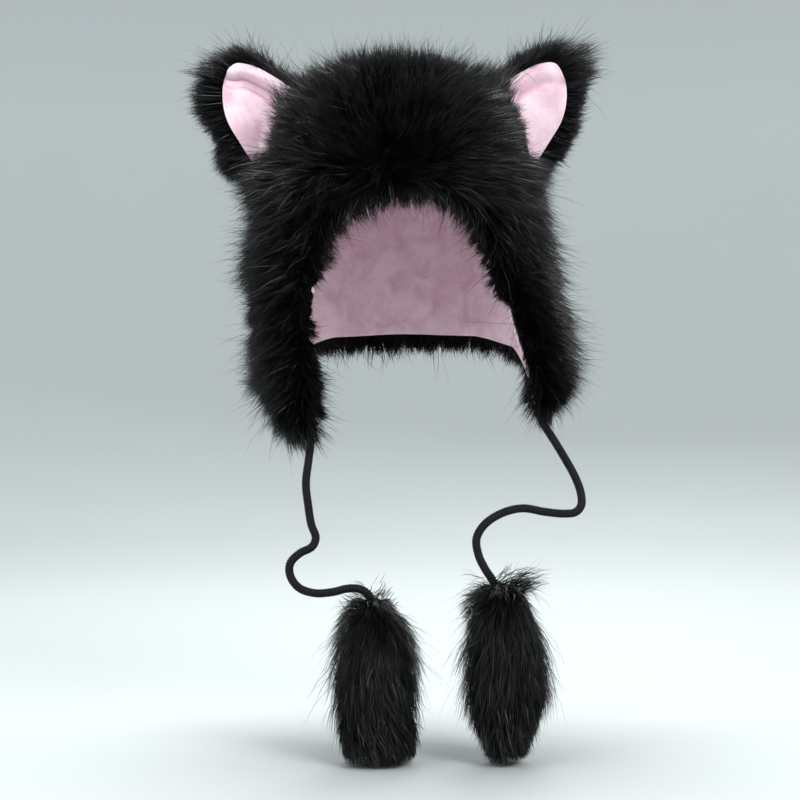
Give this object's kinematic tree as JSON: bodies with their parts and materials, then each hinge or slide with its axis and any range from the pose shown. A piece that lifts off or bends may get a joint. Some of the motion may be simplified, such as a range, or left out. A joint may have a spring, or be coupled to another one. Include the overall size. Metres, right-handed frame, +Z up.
{
  "type": "faux fur trapper hat",
  "caption": "Deep-pile faux fur trapper hat with cat ears, long ear flaps, plush lining, and a braided cord with a fur tassel on each flap.",
  "frame": {"origin": "inner top of the crown, where the hat sits on a head", "axes": "+Z up, the face opening looks along -Y, +X is to the right of a viewer in front of the hat"},
  "size_m": [0.3303, 0.2854, 0.5639],
  "materials": {
    "black_fur": "long glossy black faux fur",
    "pink_plush": "short-pile pale pink plush",
    "black_cord": "braided black cord"
  },
  "bodies": {
    "root": {"lining": "pink_plush", "crown_fur": "black_fur", "front_band_fur": "black_fur", "ear_flap_left_fur": "black_fur", "ear_flap_right_fur": "black_fur", "neck_fur": "black_fur", "cat_ear_left_fur": "black_fur", "cat_ear_left_pink": "pink_plush", "cat_ear_right_fur": "black_fur", "cat_ear_right_pink": "pink_plush", "cord_left": "black_cord", "cord_right": "black_cord", "tassel_left": "black_fur", "tassel_right": "black_fur"}
  },
  "joints": []
}
